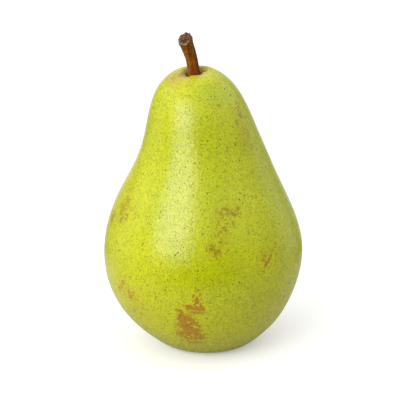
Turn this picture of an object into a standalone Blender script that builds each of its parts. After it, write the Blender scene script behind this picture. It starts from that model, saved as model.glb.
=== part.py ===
"""A pear standing on its foot: the fruit, its woody stem and the dried calyx in the basin below.

Metres, +Z up. The origin is on the ground under the middle of the belly. The fruit is turned
from a half outline, then leant and swelled as it grew. The stem stands in the cavity at the
top, and the five dry sepals and the withered stamens sit in the basin between the foot and
the flesh, clear of the ground.
"""

import math

import bmesh
import bpy
import numpy as np
from mathutils import Matrix, Vector

# Driving dimensions.
BODY_HEIGHT = 0.0994
BELLY_RADIUS = 0.0351
STEM_LENGTH = 0.0133
GAP = 0.0003

# Fineness of the turned body.
SIDES = 48
FLANK_RINGS = 30
CAVITY_RINGS = 8
BASIN_RINGS = 8

# The flank from the foot to the crest: share of the body's height, share of the belly's radius.
FLANK = (
    (0.000, 0.328),
    (0.010, 0.465),
    (0.045, 0.601),
    (0.101, 0.758),
    (0.181, 0.900),
    (0.281, 0.988),
    (0.402, 0.985),
    (0.523, 0.874),
    (0.643, 0.712),
    (0.764, 0.577),
    (0.864, 0.488),
    (0.935, 0.394),
    (0.978, 0.288),
    (0.995, 0.212),
    (1.000, 0.137),
)

# The stem cavity below the crest, and the calyx basin above the ground: height, radius.
CAVITY = ((0.0, 0.0048), (-0.0010, 0.0037), (-0.0032, 0.0031), (-0.0060, 0.0029))
CAVITY_DEPTH = 0.0076
CAVITY_FLOOR_RADIUS = 0.0022
BASIN = ((0.0040, 0.0032), (0.0034, 0.0054), (0.0018, 0.0074), (0.0, 0.0095))
BASIN_DEPTH = 0.0042

# How the axis wanders sideways as it rises: share of the body's height, metres along X.
LEAN = (
    (0.00, 0.0012),
    (0.15, 0.0),
    (0.35, 0.0),
    (0.55, -0.0003),
    (0.72, -0.0001),
    (0.84, -0.0012),
    (0.93, -0.0021),
    (1.00, -0.0024),
)

# Swellings of the flank, and the uneven lip of the cavity.
LOBE = 0.018
LOBE_TURN = math.radians(50)
FURROW_DEPTH = 0.0008
FURROW_ANGLE = math.radians(222)
LIP_RISE = 0.0005
LIP_ANGLE = math.radians(5)
LIP_SPREAD = math.radians(34)
LIP_RADIUS = 0.0052
LIP_WIDTH = 0.0026

# The stem's route from the cavity's floor to the knob: x, y, share of the length above the crest.
STEM_ROUTE = (
    (-0.0026, 0.0002, -0.53),
    (-0.0033, -0.0003, -0.09),
    (-0.0042, -0.0008, 0.35),
    (-0.0053, -0.0011, 0.62),
    (-0.0064, -0.0014, 0.89),
)
# Its radius by share of the route, and the rounding of the knob by angle.
STEM_RADII = ((0.0, 0.0018), (0.3, 0.0021), (0.6, 0.00198), (0.86, 0.0023), (1.0, 0.0024))
STEM_KNOB = 0.0013
KNOB_TURNS = (0.4, 0.8, 1.15, 1.4)
KNOB_FULLNESS = 0.6
STEM_RINGS = 22

# The sepals spread from a ring round the disc, and their tips droop towards the ground.
SEPALS = 5
SEPAL_TURN = math.radians(18)
SEPAL_START = 0.0023
SEPAL_REACH = 0.0045
SEPAL_WIDTH = 0.0023
SEPAL_POINT = 0.82
SEPAL_THICKNESS = 0.0004
SEPAL_HEIGHT = 0.0032
SEPAL_DROOP = 0.0022
SEPAL_CUP = 0.0005

# The withered stamens on their disc.
STAMENS = 10
STAMEN_LENGTH = 0.0019
STAMEN_RADIUS = 0.00016
STAMEN_TIP = 0.7
STAMEN_RING = 0.0011
STAMEN_SPREAD = 0.35
DISC_RADIUS = 0.0017
DISC_TAPER = 0.8
DISC_THICKNESS = 0.0006


def clear_scene():
    for obj in list(bpy.data.objects):
        bpy.data.objects.remove(obj, do_unlink=True)


def material(name, colour, roughness):
    made = bpy.data.materials.new(name)
    made.use_nodes = True
    shader = made.node_tree.nodes["Principled BSDF"]
    shader.inputs["Base Color"].default_value = (*colour, 1.0)
    shader.inputs["Roughness"].default_value = roughness
    shader.inputs["Metallic"].default_value = 0.0
    made.diffuse_color = (*colour, 1.0)
    return made


def object_from(bm, name, finish):
    """Names the shape, smooths its shading, and puts it in the scene."""
    mesh = bpy.data.meshes.new(name)
    bm.to_mesh(mesh)
    bm.free()
    mesh.materials.append(finish)
    mesh.shade_smooth()
    obj = bpy.data.objects.new(name, mesh)
    bpy.context.scene.collection.objects.link(obj)
    return obj


def smooth_line(points, start, end, count):
    """Points evenly along a cubic curve through these ones, which leaves along start and ends along end."""
    points = np.array(points, float)
    spans = np.linalg.norm(np.diff(points, axis=0), axis=1)
    along = np.concatenate([[0.0], np.cumsum(spans)])
    last = len(points) - 1
    matrix = np.eye(last + 1)
    target = np.zeros_like(points)
    target[0], target[last] = start, end
    for i in range(1, last):
        before, after = spans[i - 1], spans[i]
        matrix[i, i - 1 : i + 2] = after, 2 * (before + after), before
        rise_before = (points[i] - points[i - 1]) / before
        rise_after = (points[i + 1] - points[i]) / after
        target[i] = 3 * (after * rise_before + before * rise_after)
    slopes = np.linalg.solve(matrix, target)
    place = np.linspace(0.0, along[-1], count)
    k = np.clip(np.searchsorted(along, place, side="right") - 1, 0, last - 1)
    span = spans[k][:, None]
    u = (place - along[k])[:, None] / span
    ease = u * u * (3 - 2 * u)
    return (
        points[k] * (1 - ease)
        + points[k + 1] * ease
        + slopes[k] * span * u * (1 - u) ** 2
        - slopes[k + 1] * span * u * u * (1 - u)
    )


LEAN_LINE = smooth_line([(share * BODY_HEIGHT, x) for share, x in LEAN], (1, 0), (1, 0), 200)


def lean(z):
    """How far the axis has wandered along X at this height."""
    return float(np.interp(z, LEAN_LINE[:, 0], LEAN_LINE[:, 1]))


def half_outline():
    """(radius, height) from the middle of the basin, round the outside, to the cavity's floor."""
    down, level_in, level_out = (-1, 0), (0, -1), (0, 1)
    basin = smooth_line(BASIN, level_out, level_out, BASIN_RINGS)
    flank = [(share * BODY_HEIGHT, part * BELLY_RADIUS) for share, part in FLANK]
    flank = smooth_line(flank, level_out, level_in, FLANK_RINGS)
    cavity = [(BODY_HEIGHT + drop, radius) for drop, radius in CAVITY]
    cavity = smooth_line(cavity, level_in, down, CAVITY_RINGS)
    floor = BODY_HEIGHT - CAVITY_DEPTH
    floor_edge = (floor + GAP, CAVITY_FLOOR_RADIUS)
    line = [(BASIN_DEPTH, 0.0), *basin, *flank, *cavity[1:], floor_edge, (floor, 0.0)]
    return [(radius, height) for height, radius in line]


def hump(value, middle, width):
    return math.exp(-(((value - middle) / width) ** 2))


def turned_towards(angle, other):
    """The angle between two directions, from 0 to half a turn."""
    return abs(math.remainder(angle - other, math.tau))


def grown(place):
    """Moves a point of the turned body to where the grown fruit has it."""
    radius = math.hypot(place.x, place.y)
    angle = math.atan2(place.y, place.x)
    share = min(max(place.z / BODY_HEIGHT, 0.0), 1.0)
    swell = LOBE * math.sin(angle) * math.cos(2 * angle + LOBE_TURN) * math.sin(math.pi * share)
    rise = 0.0
    if share > 0.5:
        near_lip = hump(radius, LIP_RADIUS, LIP_WIDTH)
        furrow = hump(turned_towards(angle, FURROW_ANGLE), 0.0, LIP_SPREAD)
        lip = hump(turned_towards(angle, LIP_ANGLE), 0.0, LIP_SPREAD)
        rise = near_lip * (LIP_RISE * lip - FURROW_DEPTH * furrow)
    x = place.x * (1 + swell) + lean(place.z)
    return Vector((x, place.y * (1 + swell), place.z + rise))


def make_fruit(finish):
    """The flesh and skin in one: a half outline spun round the axis, then grown."""
    bm = bmesh.new()
    ring = [bm.verts.new((radius, 0.0, height)) for radius, height in half_outline()]
    edges = [bm.edges.new(pair) for pair in zip(ring, ring[1:])]
    bmesh.ops.spin(
        bm,
        geom=ring + edges,
        cent=(0, 0, 0),
        axis=(0, 0, 1),
        dvec=(0, 0, 0),
        angle=math.tau,
        steps=SIDES,
        use_merge=True,
        use_duplicate=False,
    )
    bmesh.ops.remove_doubles(bm, verts=bm.verts, dist=0.00001)
    for vert in bm.verts:
        vert.co = grown(vert.co)
    bmesh.ops.recalc_face_normals(bm, faces=bm.faces)
    return object_from(bm, "fruit", finish)


def make_stem(finish):
    """A tapered tube along a gentle bend, with a rounded knob where it left the branch."""
    route = np.array([(x, y, BODY_HEIGHT + share * STEM_LENGTH) for x, y, share in STEM_ROUTE])
    first = route[1] - route[0]
    final = route[-1] - route[-2]
    final_way = final / np.linalg.norm(final)
    line = smooth_line(route, first / np.linalg.norm(first), final_way, STEM_RINGS)
    share = np.linspace(0.0, 1.0, STEM_RINGS)
    radii = list(np.interp(share, *zip(*STEM_RADII)))
    points = list(line)
    for turn in KNOB_TURNS:
        points.append(line[-1] + final_way * STEM_KNOB * math.sin(turn))
        radii.append(radii[STEM_RINGS - 1] * math.cos(turn) ** KNOB_FULLNESS)
    curve = bpy.data.curves.new("stem", "CURVE")
    curve.dimensions = "3D"
    curve.bevel_depth = 1.0
    curve.bevel_resolution = 2
    curve.use_fill_caps = True
    spline = curve.splines.new("POLY")
    spline.points.add(len(points) - 1)
    for point, place, radius in zip(spline.points, points, radii):
        point.co = (*place, 1.0)
        point.radius = radius
    spline.use_smooth = True
    curve.materials.append(finish)
    obj = bpy.data.objects.new("stem", curve)
    bpy.context.scene.collection.objects.link(obj)
    return obj


def make_sepal(name, angle, finish):
    """One dried sepal: a thin pointed leaf that spreads from the disc and curls to the ground side."""
    bm = bmesh.new()
    bmesh.ops.create_grid(bm, x_segments=7, y_segments=4, size=0.5)
    for vert in bm.verts:
        along = vert.co.x + 0.5
        side = vert.co.y * 2
        half_width = 0.5 * SEPAL_WIDTH * (1 - SEPAL_POINT * along**1.6)
        droop = SEPAL_DROOP * along**1.5 + SEPAL_CUP * side**2
        vert.co = (SEPAL_START + SEPAL_REACH * along, side * half_width, SEPAL_HEIGHT - droop)
    turn = Matrix.Rotation(angle, 4, "Z")
    bmesh.ops.transform(bm, matrix=Matrix.Translation((lean(0.0), 0, 0)) @ turn, verts=bm.verts)
    obj = object_from(bm, name, finish)
    wall = obj.modifiers.new("thickness", "SOLIDIFY")
    wall.thickness = SEPAL_THICKNESS
    wall.offset = 0.0
    return obj


def make_stamens(finish):
    """The withered flower parts: a small disc with dry filaments, grown together."""
    tuft = bmesh.new()
    for i in range(STAMENS):
        angle = math.tau * (i + 0.5) / STAMENS
        out = Vector((math.cos(angle), math.sin(angle), 0.0))
        way = (out * STAMEN_SPREAD - Vector((0.0, 0.0, 1.0))).normalized()
        foot = out * STAMEN_RING
        place = Matrix.Translation(foot + way * STAMEN_LENGTH / 2)
        tilt = way.to_track_quat("Z", "Y").to_matrix().to_4x4()
        bmesh.ops.create_cone(
            tuft,
            cap_ends=True,
            segments=6,
            radius1=STAMEN_RADIUS,
            radius2=STAMEN_RADIUS * STAMEN_TIP,
            depth=STAMEN_LENGTH,
            matrix=place @ tilt,
        )
    middle = Matrix.Translation((lean(0.0), 0, BASIN_DEPTH - GAP * 2 - DISC_THICKNESS / 2))
    bmesh.ops.transform(tuft, matrix=middle, verts=tuft.verts)
    helper = object_from(tuft, "filament_tool", finish)
    helper.hide_render = True
    helper.display_type = "WIRE"
    disc = bmesh.new()
    bmesh.ops.create_cone(
        disc,
        cap_ends=True,
        segments=16,
        radius1=DISC_RADIUS * DISC_TAPER,
        radius2=DISC_RADIUS,
        depth=DISC_THICKNESS,
        matrix=middle,
    )
    obj = object_from(disc, "dry_stamens", finish)
    join = obj.modifiers.new("filaments", "BOOLEAN")
    join.operation = "UNION"
    join.object = helper
    return obj


def main():
    clear_scene()
    skin = material("pear_skin", (0.52, 0.55, 0.04), 0.42)
    wood = material("stem_wood", (0.19, 0.08, 0.015), 0.75)
    dried_leaf = material("dried_sepal", (0.10, 0.055, 0.025), 0.85)
    dried_tuft = material("dried_stamen", (0.04, 0.022, 0.012), 0.9)
    make_fruit(skin)
    make_stem(wood)
    for i in range(SEPALS):
        make_sepal(f"sepal_{i + 1}", math.tau * i / SEPALS + SEPAL_TURN, dried_leaf)
    make_stamens(dried_tuft)


main()
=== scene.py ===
# %% [markdown]
# A whole pear, standing on its own foot. It is built from the outside in the order that it
# grew: the fruit, the stem that it hung by, and the dried remains of the flower underneath.
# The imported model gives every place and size, so it comes first.

# %% Load the frame
import math

import bmesh
import bpy
import numpy as np
from mathutils import Matrix, Vector, noise


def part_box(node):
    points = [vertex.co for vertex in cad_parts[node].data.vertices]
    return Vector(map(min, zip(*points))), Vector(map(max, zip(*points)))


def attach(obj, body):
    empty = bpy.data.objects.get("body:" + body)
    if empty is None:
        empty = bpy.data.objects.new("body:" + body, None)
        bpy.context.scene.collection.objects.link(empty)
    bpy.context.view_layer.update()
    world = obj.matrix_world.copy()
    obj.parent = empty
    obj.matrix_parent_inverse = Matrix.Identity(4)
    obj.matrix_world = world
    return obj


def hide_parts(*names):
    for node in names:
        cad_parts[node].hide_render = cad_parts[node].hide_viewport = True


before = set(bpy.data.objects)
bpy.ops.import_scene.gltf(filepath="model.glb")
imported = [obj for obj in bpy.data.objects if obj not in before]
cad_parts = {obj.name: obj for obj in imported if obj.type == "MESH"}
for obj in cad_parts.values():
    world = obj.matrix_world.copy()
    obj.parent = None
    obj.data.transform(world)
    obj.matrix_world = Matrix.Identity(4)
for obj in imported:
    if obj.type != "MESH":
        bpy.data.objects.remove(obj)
scene = bpy.context.scene
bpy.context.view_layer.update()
fruit_low, fruit_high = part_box("fruit")
stem_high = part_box("stem")[1]

# %% [markdown]
# A few small helpers come back on every piece. A piece's shape is finished as a mesh, smoothed
# in its shading and hung on the one body of this part, and the plain solids that it stands for
# are hidden.

# %% Finish a piece
MM = 0.001


def finish(bm, name, material, slot, *stands_for):
    """Turns the worked shape into a named piece that rides with the part."""
    mesh = bpy.data.meshes.new(name)
    bm.to_mesh(mesh)
    bm.free()
    mesh.materials.append(material)
    mesh.shade_smooth()
    piece = bpy.data.objects.new(name, mesh)
    scene.collection.objects.link(piece)
    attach(piece, "root")
    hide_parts(*stands_for)
    print(name, "has", len(mesh.polygons), "faces")
    return piece


def read_points(mesh):
    points = np.empty(len(mesh.vertices) * 3, np.float32)
    mesh.vertices.foreach_get("co", points)
    return points.reshape(-1, 3).astype(float)


def write_points(mesh, points):
    mesh.vertices.foreach_set("co", points.astype(np.float32).ravel())
    mesh.update()


# %% [markdown]
# The outline of a pear is one long curve that changes its bend several times: round at the
# belly, slightly hollow at the neck, and tight at the shoulder. A chain of arcs would show a
# crease in the shine wherever two arcs meet. A cubic curve through a few chosen points keeps
# its bend steady from one stretch to the next, so the highlights run over it unbroken.

# %% A smooth line through a few points
def smooth_line(points, start, end, count):
    """Points evenly along a cubic curve, which leaves along start and arrives along end."""
    points = np.array(points, float)
    spans = np.linalg.norm(np.diff(points, axis=0), axis=1)
    along = np.concatenate([[0.0], np.cumsum(spans)])
    last = len(points) - 1
    matrix = np.eye(last + 1)
    target = np.zeros_like(points)
    target[0], target[last] = start, end
    for i in range(1, last):
        before, after = spans[i - 1], spans[i]
        matrix[i, i - 1 : i + 2] = after, 2 * (before + after), before
        rise_before = (points[i] - points[i - 1]) / before
        rise_after = (points[i + 1] - points[i]) / after
        target[i] = 3 * (after * rise_before + before * rise_after)
    slopes = np.linalg.solve(matrix, target)
    place = np.linspace(0.0, along[-1], count)
    k = np.clip(np.searchsorted(along, place, side="right") - 1, 0, last - 1)
    span = spans[k][:, None]
    u = (place - along[k])[:, None] / span
    ease = u * u * (3 - 2 * u)
    return (
        points[k] * (1 - ease)
        + points[k + 1] * ease
        + slopes[k] * span * u * (1 - u) ** 2
        - slopes[k + 1] * span * u * u * (1 - u)
    )


# %% [markdown]
# The fruit could be sculpted by hand, but a pear is close to a turned shape, so a half outline
# spun round the axis gives even rings that later steps can rely on. The outline starts in the
# middle of the calyx basin, goes out over the foot and up the flank, over the crest, and down
# the funnel that the stem stands in. Heights are shares of the body and radii shares of the
# belly, so the frame sets the size.

# %% The half outline
LIP_RISE = 0.0005
body_height = fruit_high.z - LIP_RISE
belly_radius = (fruit_high.x - fruit_low.x) / 2
FLANK = (
    (0.000, 0.328), (0.010, 0.465), (0.045, 0.601), (0.101, 0.758), (0.181, 0.900),
    (0.281, 0.988), (0.402, 0.985), (0.523, 0.874), (0.643, 0.712), (0.764, 0.577),
    (0.864, 0.488), (0.935, 0.394), (0.978, 0.288), (0.995, 0.212), (1.000, 0.137),
)
CAVITY = ((0.0, 0.0048), (-0.0010, 0.0037), (-0.0032, 0.0031), (-0.0060, 0.0029))
CAVITY_DEPTH = 0.0076
CAVITY_FLOOR = ((0.0002, 0.0024), (0.0, 0.0012), (0.0, 0.0))
BASIN = ((0.0040, 0.0032), (0.0034, 0.0054), (0.0018, 0.0074), (0.0, 0.0095))
BASIN_DEPTH = 0.0042
FLANK_RINGS, CAVITY_RINGS, BASIN_RINGS = 178, 30, 26


def half_outline():
    """(radius, height) from the middle of the basin, round the outside, to the cavity's floor."""
    down, inward, outward = (-1, 0), (0, -1), (0, 1)
    basin = smooth_line(BASIN, outward, outward, BASIN_RINGS)
    flank = [(share * body_height, part * belly_radius) for share, part in FLANK]
    flank = smooth_line(flank, outward, inward, FLANK_RINGS)
    cavity = [(body_height + drop, radius) for drop, radius in CAVITY]
    cavity = smooth_line(cavity, inward, down, CAVITY_RINGS)
    floor = [(body_height - CAVITY_DEPTH + rise, radius) for rise, radius in CAVITY_FLOOR]
    middle = [(BASIN_DEPTH, radius) for radius in (0.0, 0.0012, 0.0022)]
    return [(radius, height) for height, radius in [*middle, *basin, *flank, *cavity[1:], *floor]]


print("half outline of", len(half_outline()), "points")


# %% [markdown]
# Spinning the line makes the fruit. A whole turn is slow with so many rings, so a quarter is
# spun and mirrored twice. The mirrors turn faces inside out, so the normals are put right.

# %% Spin it
FRUIT_SIDES = 400
MERGE = 0.000001


def spun(outline, sides):
    """A closed shape from a half outline that starts and ends on the Z axis."""
    bm = bmesh.new()
    line = [bm.verts.new((radius, 0.0, height)) for radius, height in outline]
    edges = [bm.edges.new(pair) for pair in zip(line, line[1:])]
    bmesh.ops.spin(
        bm, geom=line + edges, cent=(0, 0, 0), axis=(0, 0, 1), dvec=(0, 0, 0),
        angle=math.tau / 4, steps=sides // 4, use_merge=False, use_duplicate=False,
    )
    bmesh.ops.remove_doubles(bm, verts=bm.verts, dist=MERGE)
    for axis in "XY":
        parts = bm.verts[:] + bm.edges[:] + bm.faces[:]
        bmesh.ops.mirror(bm, geom=parts, matrix=Matrix(), merge_dist=MERGE, axis=axis)
    bmesh.ops.recalc_face_normals(bm, faces=bm.faces)
    return bm


print("spun in", FRUIT_SIDES, "sides")

# %% [markdown]
# No pear is a true solid of revolution. Its axis wanders as it hangs, and one side gets more sun
# and swells. A furrow runs off the stem cavity on one side, a fold of flesh stands up on another,
# the cavity is pinched and wrinkled, and the basin round the calyx is pulled into ribs. Each is a
# small move by height and direction, so they are added up over all the points of the spun shape.

# %% The axis and a few soft shapes
LEAN = (
    (0.00, 0.0012), (0.15, 0.0), (0.35, 0.0), (0.55, -0.0003),
    (0.72, -0.0001), (0.84, -0.0012), (0.93, -0.0021), (1.00, -0.0024),
)
lean_line = smooth_line([(share * body_height, x) for share, x in LEAN], (1, 0), (1, 0), 200)


def lean(z):
    """How far the axis has wandered along X at this height."""
    return np.interp(z, lean_line[:, 0], lean_line[:, 1])


def hump(value, middle, width):
    """One at the middle, falling softly to nothing."""
    return np.exp(-(((value - middle) / width) ** 2))


def fade(value, none, full):
    """Zero at one value, one at the other, and straight between."""
    return np.clip((value - none) / (full - none), 0.0, 1.0)


def apart(angle, other):
    """The angle between two directions, from 0 to half a turn."""
    return np.abs((angle - other + math.pi) % math.tau - math.pi)


print("the axis leans", round(float(lean(body_height)) / MM, 2), "mm at the top")

# %% [markdown]
# Most of the moves sit round the stem cavity, so those have a function of their own.

# %% Grow it out of round
LOBE, LOBE_TURN = 0.018, math.radians(50)
FURROW_DEPTH, FURROW_ANGLE, FURROW_SPREAD = 0.0011, math.radians(218), math.radians(30)
LIP_ANGLE, LIP_SPREAD = math.radians(-12), math.radians(42)
LIP_RADIUS, LIP_WIDTH = 0.0050, 0.0020
CREST_TILT, CREST_WIDTH = 0.00045, 0.0030
PINCH, PINCH_ANGLE, PINCH_SPREAD = 0.24, math.radians(-42), math.radians(34)
PINCH_RADIUS, PINCH_WIDTH = 0.0046, 0.0024
WRINKLES, WRINKLE_SWAY, WRINKLE_DEPTH, WRINKLE_WIDTH = 11, 3, 0.00014, 0.0014
RIB_COUNT, RIB_DEPTH, RIB_RADIUS, RIB_WIDTH = 5, 0.0004, 0.0068, 0.0022
BASIN_SHARE = 0.1


def rise_at_top(radius, angle):
    """How far the skin round the stem cavity stands above an even crest."""
    furrow = hump(apart(angle, FURROW_ANGLE), 0.0, FURROW_SPREAD)
    lip = hump(apart(angle, LIP_ANGLE), 0.0, LIP_SPREAD)
    rise = hump(radius, LIP_RADIUS, LIP_WIDTH) * (LIP_RISE * lip - FURROW_DEPTH * furrow)
    rise += CREST_TILT * np.sin(angle) * hump(radius, LIP_RADIUS, CREST_WIDTH)
    folds = np.cos(WRINKLES * angle + WRINKLE_SWAY * np.sin(2 * angle))
    return rise + WRINKLE_DEPTH * hump(radius, CAVITY[0][1], WRINKLE_WIDTH) * folds


def grown(points):
    """Where the grown fruit has the points of the spun one."""
    x, y, z = points.T
    radius, angle = np.hypot(x, y), np.arctan2(y, x)
    share = np.clip(z / body_height, 0.0, 1.0)
    upper = share > 0.5
    swell = LOBE * np.sin(angle) * np.cos(2 * angle + LOBE_TURN) * np.sin(math.pi * share)
    pinch = PINCH * hump(apart(angle, PINCH_ANGLE), 0.0, PINCH_SPREAD)
    pinch *= hump(radius, PINCH_RADIUS, PINCH_WIDTH) * upper
    ribs = RIB_DEPTH * hump(radius, RIB_RADIUS, RIB_WIDTH) * np.cos(RIB_COUNT * angle)
    in_basin = (radius < BASIN[-1][1]) & (share < BASIN_SHARE)
    rise = np.where(in_basin, np.maximum(ribs, -z), 0.0)
    rise = np.where(upper, rise_at_top(radius, angle), rise)
    wider = 1 + swell - pinch
    return np.stack([x * wider + lean(z), y * wider, z + rise], axis=1)


# %% [markdown]
# The materials are made of nodes. A few helpers keep them readable: they add a node, do
# arithmetic, or mix two colours by a mask. An input may be a number or another node's output.

# %% Helpers for node trees
def put(tree, kind, inputs=(), **settings):
    """A new node, with its settings and its inputs."""
    made = tree.nodes.new(kind)
    for name, value in settings.items():
        setattr(made, name, value)
    for name, value in dict(inputs).items():
        if isinstance(value, bpy.types.NodeSocket):
            tree.links.new(value, made.inputs[name])
        else:
            made.inputs[name].default_value = value
    return made


def sums(tree, operation, first, second=0.0, clamp=False):
    made = put(tree, "ShaderNodeMath", {0: first, 1: second}, operation=operation)
    made.use_clamp = clamp
    return made.outputs[0]


def times(tree, first, second):
    return sums(tree, "MULTIPLY", first, second)


def blend(tree, mask, below, above):
    """One colour over another, as far as the mask says."""
    made = tree.nodes.new("ShaderNodeMix")
    made.data_type = "RGBA"
    for socket, value in zip((made.inputs[0], made.inputs[6], made.inputs[7]), (mask, below, above)):
        if isinstance(value, bpy.types.NodeSocket):
            tree.links.new(value, socket)
        else:
            socket.default_value = (*value, 1.0) if isinstance(value, tuple) else value
    return made.outputs[2]


def ramp(tree, value, low, high, to_low=0.0, to_high=1.0):
    """Eases a value from one range to another, and stays flat outside it."""
    inputs = {"Value": value, 1: low, 2: high, 3: to_low, 4: to_high}
    made = put(tree, "ShaderNodeMapRange", inputs, interpolation_type="SMOOTHSTEP")
    return made.outputs[0]


def new_material(name):
    """A material with a Principled shader and the piece's own place as its coordinates."""
    material = bpy.data.materials.new(name)
    material.use_nodes = True
    tree = material.node_tree
    shader = tree.nodes["Principled BSDF"]
    place = tree.nodes.new("ShaderNodeTexCoord").outputs["Object"]
    return material, tree, shader, place


def roughen(tree, shader, height, strength, depth):
    """Wires the finest relief to the shader, as a bump with its depth in metres."""
    inputs = {"Height": height, "Strength": strength, "Distance": depth}
    made = put(tree, "ShaderNodeBump", inputs)
    tree.links.new(made.outputs[0], shader.inputs["Normal"])


# %% [markdown]
# Two effects are used by several finishes, so each is a node group. The first is pores: the
# skin of the fruit breathes through thousands of tiny dots, and the bark of the stem has them
# too. Cells scattered in space, cut by the surface, give dots of uneven size and spacing.

# %% The pores
def new_group(name, inputs, outputs):
    """An empty node group with its sockets and its two end nodes."""
    group = bpy.data.node_groups.new(name, "ShaderNodeTree")
    for label, kind, value in inputs:
        socket = group.interface.new_socket(name=label, in_out="INPUT", socket_type=kind)
        if value is not None:
            socket.default_value = value
    for label, kind in outputs:
        group.interface.new_socket(name=label, in_out="OUTPUT", socket_type=kind)
    return group, group.nodes.new("NodeGroupInput"), group.nodes.new("NodeGroupOutput")


NUMBER, DIRECTION = "NodeSocketFloat", "NodeSocketVector"


def make_pores():
    """Dots of a given radius, in metres, each with a strength of its own."""
    inputs = [
        ("Place", DIRECTION, None), ("Cells per metre", NUMBER, 1000.0), ("Radius", NUMBER, 0.0002),
        ("Weakest", NUMBER, 0.2),
    ]
    group, start, end = new_group("pores", inputs, [("Dots", NUMBER)])
    place, cells, radius, weakest = (start.outputs[i] for i in range(4))
    spots = put(group, "ShaderNodeTexVoronoi", {"Vector": place, "Scale": cells})
    chance = put(group, "ShaderNodeSeparateColor", {"Color": spots.outputs["Color"]})
    distance = sums(group, "DIVIDE", spots.outputs["Distance"], cells)
    size = times(group, radius, ramp(group, chance.outputs["Red"], 0.0, 1.0, 0.5, 1.0))
    dot = ramp(group, sums(group, "DIVIDE", distance, size), 0.55, 1.0, 1.0, 0.0)
    rare = sums(group, "POWER", chance.outputs["Green"], 2.0)
    strength = put(group, "ShaderNodeMapRange", {"Value": rare, 3: weakest, 4: 1.0}).outputs[0]
    group.links.new(times(group, dot, strength), end.inputs["Dots"])
    return group


pores = make_pores()
print("node group", pores.name)


# %% [markdown]
# The second shared effect is weathering: everything dry on the fruit, from the bark to the
# withered flower, is blotched and finely wrinkled. One noise stretched along a direction gives
# both a mask for the colour and a height for the relief.

# %% The weathering
def make_weathering():
    inputs = [
        ("Place", DIRECTION, None), ("Blotches per metre", NUMBER, 400.0),
        ("Stretch", DIRECTION, (1.0, 1.0, 1.0)), ("Contrast", NUMBER, 0.2),
    ]
    outputs = [("Mask", NUMBER), ("Height", NUMBER)]
    group, start, end = new_group("weathering", inputs, outputs)
    place, scale, stretch, contrast = (start.outputs[i] for i in range(4))
    drawn = put(group, "ShaderNodeVectorMath", {0: place, 1: stretch}, operation="MULTIPLY")
    coarse = put(
        group, "ShaderNodeTexNoise",
        {"Vector": drawn.outputs[0], "Scale": scale, "Detail": 5.0, "Roughness": 0.65},
    )
    low = sums(group, "SUBTRACT", 0.5, contrast)
    high = sums(group, "ADD", 0.5, contrast)
    group.links.new(ramp(group, coarse.outputs[0], low, high), end.inputs["Mask"])
    group.links.new(coarse.outputs[0], end.inputs["Height"])
    return group


weathering = make_weathering()
print("node group", weathering.name)


# %% [markdown]
# The skin. Its green is never even: greenest in broad patches, painted on as an attribute, more
# golden toward the foot, and ochre where it is stained. Down the middle of the front those green
# patches are partly painted shade as well. One flat colour would look like plastic, so noise
# breaks it up: patches of two centimetres, a mottling of two millimetres, and a grain of half a
# millimetre.

# %% The skin's ground colour
GREEN, YELLOW, GOLD = (0.445, 0.495, 0.002), (0.510, 0.535, 0.002), (0.512, 0.500, 0.002)
DEEP, PALE, FRESH_GREEN_AND_SHADE = (0.310, 0.350, 0.001), (0.640, 0.655, 0.020), (0.350, 0.435, 0.001)
OCHRE = (0.450, 0.365, 0.001)
PATCHES, MOTTLING, GRAIN = 60.0, 420.0, 1700.0
GOLD_TOP, GOLD_MOST, OCHRE_MOST = 0.055, 0.7, 0.7


def mottle(tree, place, scale, detail=2.0):
    """Soft noise, with its scale in waves per metre."""
    inputs = {"Vector": place, "Scale": scale, "Detail": detail}
    return put(tree, "ShaderNodeTexNoise", inputs).outputs[0]


def painted(tree, name):
    """The value of an attribute that is painted on the mesh."""
    return put(tree, "ShaderNodeAttribute", attribute_name=name).outputs["Fac"]


skin, tree, shader, place = new_material("pear_skin")
base = blend(tree, ramp(tree, mottle(tree, place, PATCHES, 3.0), 0.32, 0.68), GREEN, YELLOW)
above_foot = put(tree, "ShaderNodeSeparateXYZ", {"Vector": place}).outputs["Z"]
low = ramp(tree, above_foot, GOLD_TOP, 0.0)
base = blend(tree, times(tree, low, GOLD_MOST), base, GOLD)
# greener skin; down the middle of the front it is partly painted shade
base = blend(tree, painted(tree, "fresh_and_shade"), base, FRESH_GREEN_AND_SHADE)
base = blend(tree, ramp(tree, mottle(tree, place, MOTTLING), 0.45, 0.72, 0.0, 0.30), base, DEEP)
grain = mottle(tree, place, GRAIN, 1.0)
base = blend(tree, ramp(tree, grain, 0.50, 0.70, 0.0, 0.85), base, DEEP)
base = blend(tree, ramp(tree, grain, 0.46, 0.28, 0.0, 0.35), base, PALE)
stain = painted(tree, "stain")
base = blend(tree, times(tree, stain, OCHRE_MOST), base, OCHRE)
print("ground colour made of", len(tree.nodes), "nodes")

# %% [markdown]
# Most pores are tiny and crowd together in places, a few are large and dark, and there are extra
# brown ones near the foot and on stained skin. So the group is placed three times.

# %% The pores on the skin
PORE, PORE_LARGE = (0.085, 0.066, 0.001), (0.050, 0.036, 0.001)
PORE_BROWN = (0.110, 0.066, 0.001)
# cells per metre, largest radius in metres, faintest strength
SMALL_PORES = (1500.0, 0.00028, 0.40)
LARGE_PORES = (640.0, 0.00037, 0.45)
EXTRA_PORES = (1250.0, 0.00030, 0.60)
CROWDS = 90.0


def dots(tree, place, cells, radius, weakest):
    """The pores group, placed in a material."""
    inputs = {"Place": place, "Cells per metre": cells, "Radius": radius, "Weakest": weakest}
    return put(tree, "ShaderNodeGroup", inputs, node_tree=pores).outputs["Dots"]


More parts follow.
